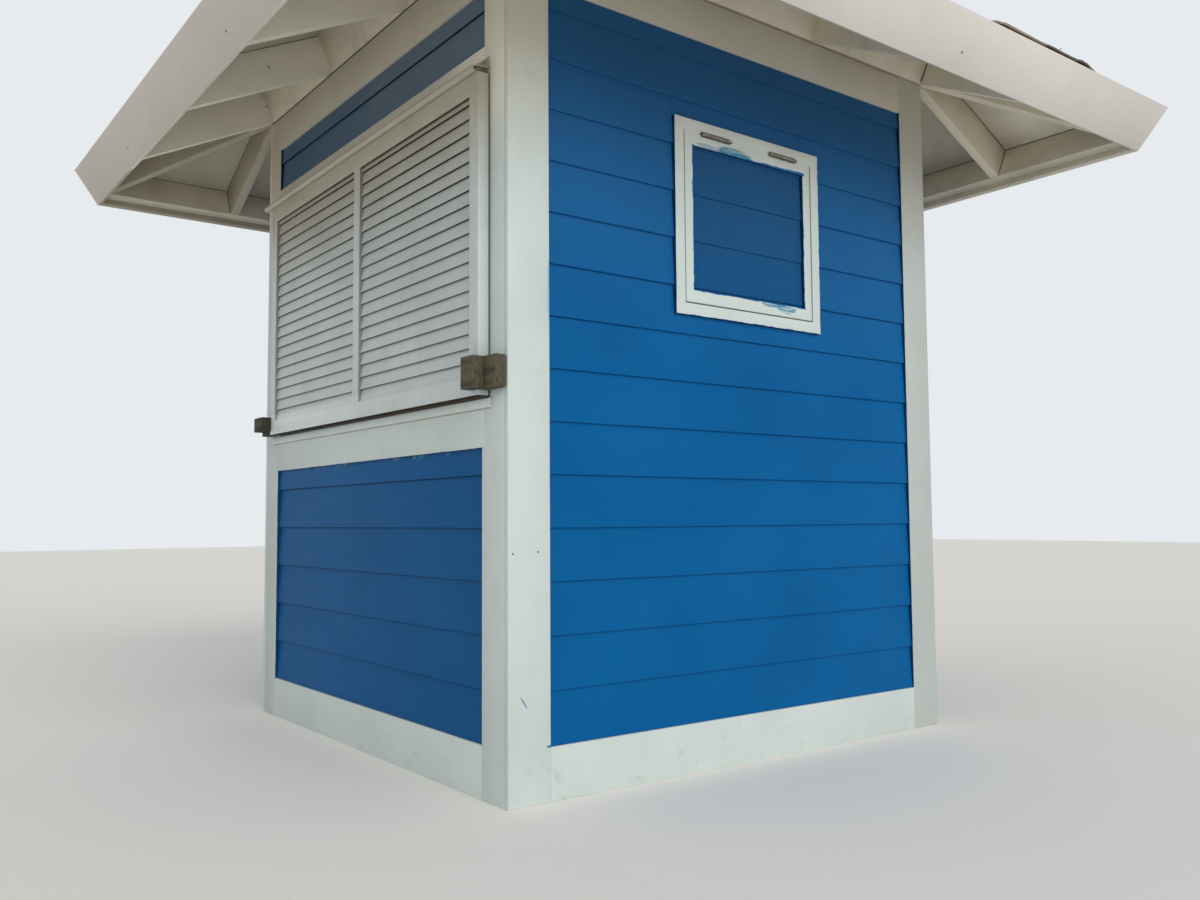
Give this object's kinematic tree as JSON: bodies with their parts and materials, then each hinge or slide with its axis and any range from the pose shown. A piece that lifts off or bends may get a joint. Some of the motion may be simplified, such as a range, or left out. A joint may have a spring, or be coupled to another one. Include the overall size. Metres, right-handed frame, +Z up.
{
  "type": "lifeguard tower cabin",
  "caption": "Square timber lifeguard tower cabin with blue lap siding, white trim, a top-hung louvered shutter, side hatches and a hipped roof with deep open eaves.",
  "frame": {"origin": "middle of the cabin's footprint, on the level it stands on", "axes": "+Z up; the shutter wall faces -Y; the wall with the opening hatch faces +X"},
  "size_m": [3.214, 3.214, 3.1589],
  "materials": {
    "white_trim_paint": "brushed off-white exterior paint",
    "blue_siding_paint": "semi-gloss blue exterior paint",
    "bare_timber": "unpainted framing timber and plywood",
    "white_shutter_coat": "white coated aluminium",
    "weathered_block": "dark weathered bare wood",
    "painted_hinge": "steel with worn white paint",
    "worn_steel": "dull weathered steel",
    "brown_shingle": "weathered brown mineral shingle"
  },
  "bodies": {
    "cabin": {"back_door": "blue_siding_paint", "back_door_casing": "white_trim_paint", "back_door_fittings": "worn_steel", "back_siding": "blue_siding_paint", "back_wall_over_door": "bare_timber", "back_wall_piers": "bare_timber", "corner_boards_ends": "white_trim_paint", "corner_boards_sides": "white_trim_paint", "fascia_ends": "white_trim_paint", "fascia_sides": "white_trim_paint", "floor_deck": "bare_timber", "floor_joists": "bare_timber", "floor_rims": "bare_timber", "frieze_boards": "white_trim_paint", "front_casing": "white_trim_paint", "front_siding": "blue_siding_paint", "front_sill_strip": "white_trim_paint", "front_wall_infills": "bare_timber", "front_wall_piers": "bare_timber", "hatch_casings": "white_trim_paint", "hip_caps": "brown_shingle", "hip_rafters": "white_trim_paint", "king_block": "bare_timber", "left_hatch_frame": "white_trim_paint", "left_hatch_hinges": "painted_hinge", "left_hatch_panel": "blue_siding_paint", "left_siding": "blue_siding_paint", "left_wall_infills": "bare_timber", "left_wall_piers": "bare_timber", "rafter_blocking": "white_trim_paint", "rafters_ends": "white_trim_paint", "rafters_sides": "white_trim_paint", "right_hatch_hinges_fixed": "painted_hinge", "right_siding": "blue_siding_paint", "right_wall_infills": "bare_timber", "right_wall_piers": "bare_timber", "roof_deck": "white_trim_paint", "roof_shingles": "brown_shingle", "shutter_hinge_rail": "white_shutter_coat", "skirt_boards": "white_trim_paint", "sub_fascia_ends": "white_trim_paint", "sub_fascia_sides": "white_trim_paint"},
    "shutter": {"shutter_frame": "white_shutter_coat", "shutter_louvers_left": "white_shutter_coat", "shutter_louvers_right": "white_shutter_coat", "shutter_hinge_sleeve": "white_shutter_coat", "shutter_keepers_back": "weathered_block", "shutter_keepers_front": "weathered_block"},
    "right_hatch": {"right_hatch_frame": "white_trim_paint", "right_hatch_panel": "blue_siding_paint", "right_hatch_hinges_moving": "painted_hinge"}
  },
  "joints": [
    {"name": "shutter_hinge", "type": "hinge", "parent": "cabin", "child": "shutter", "pos_m": [0, -1.003, 2.087], "axis": [-1, 0, 0], "range_deg": [0, 85]},
    {"name": "right_hatch_hinge", "type": "hinge", "parent": "cabin", "child": "right_hatch", "pos_m": [0.965, 0, 2.0295], "axis": [0, -1, 0], "range_deg": [0, 90]}
  ]
}
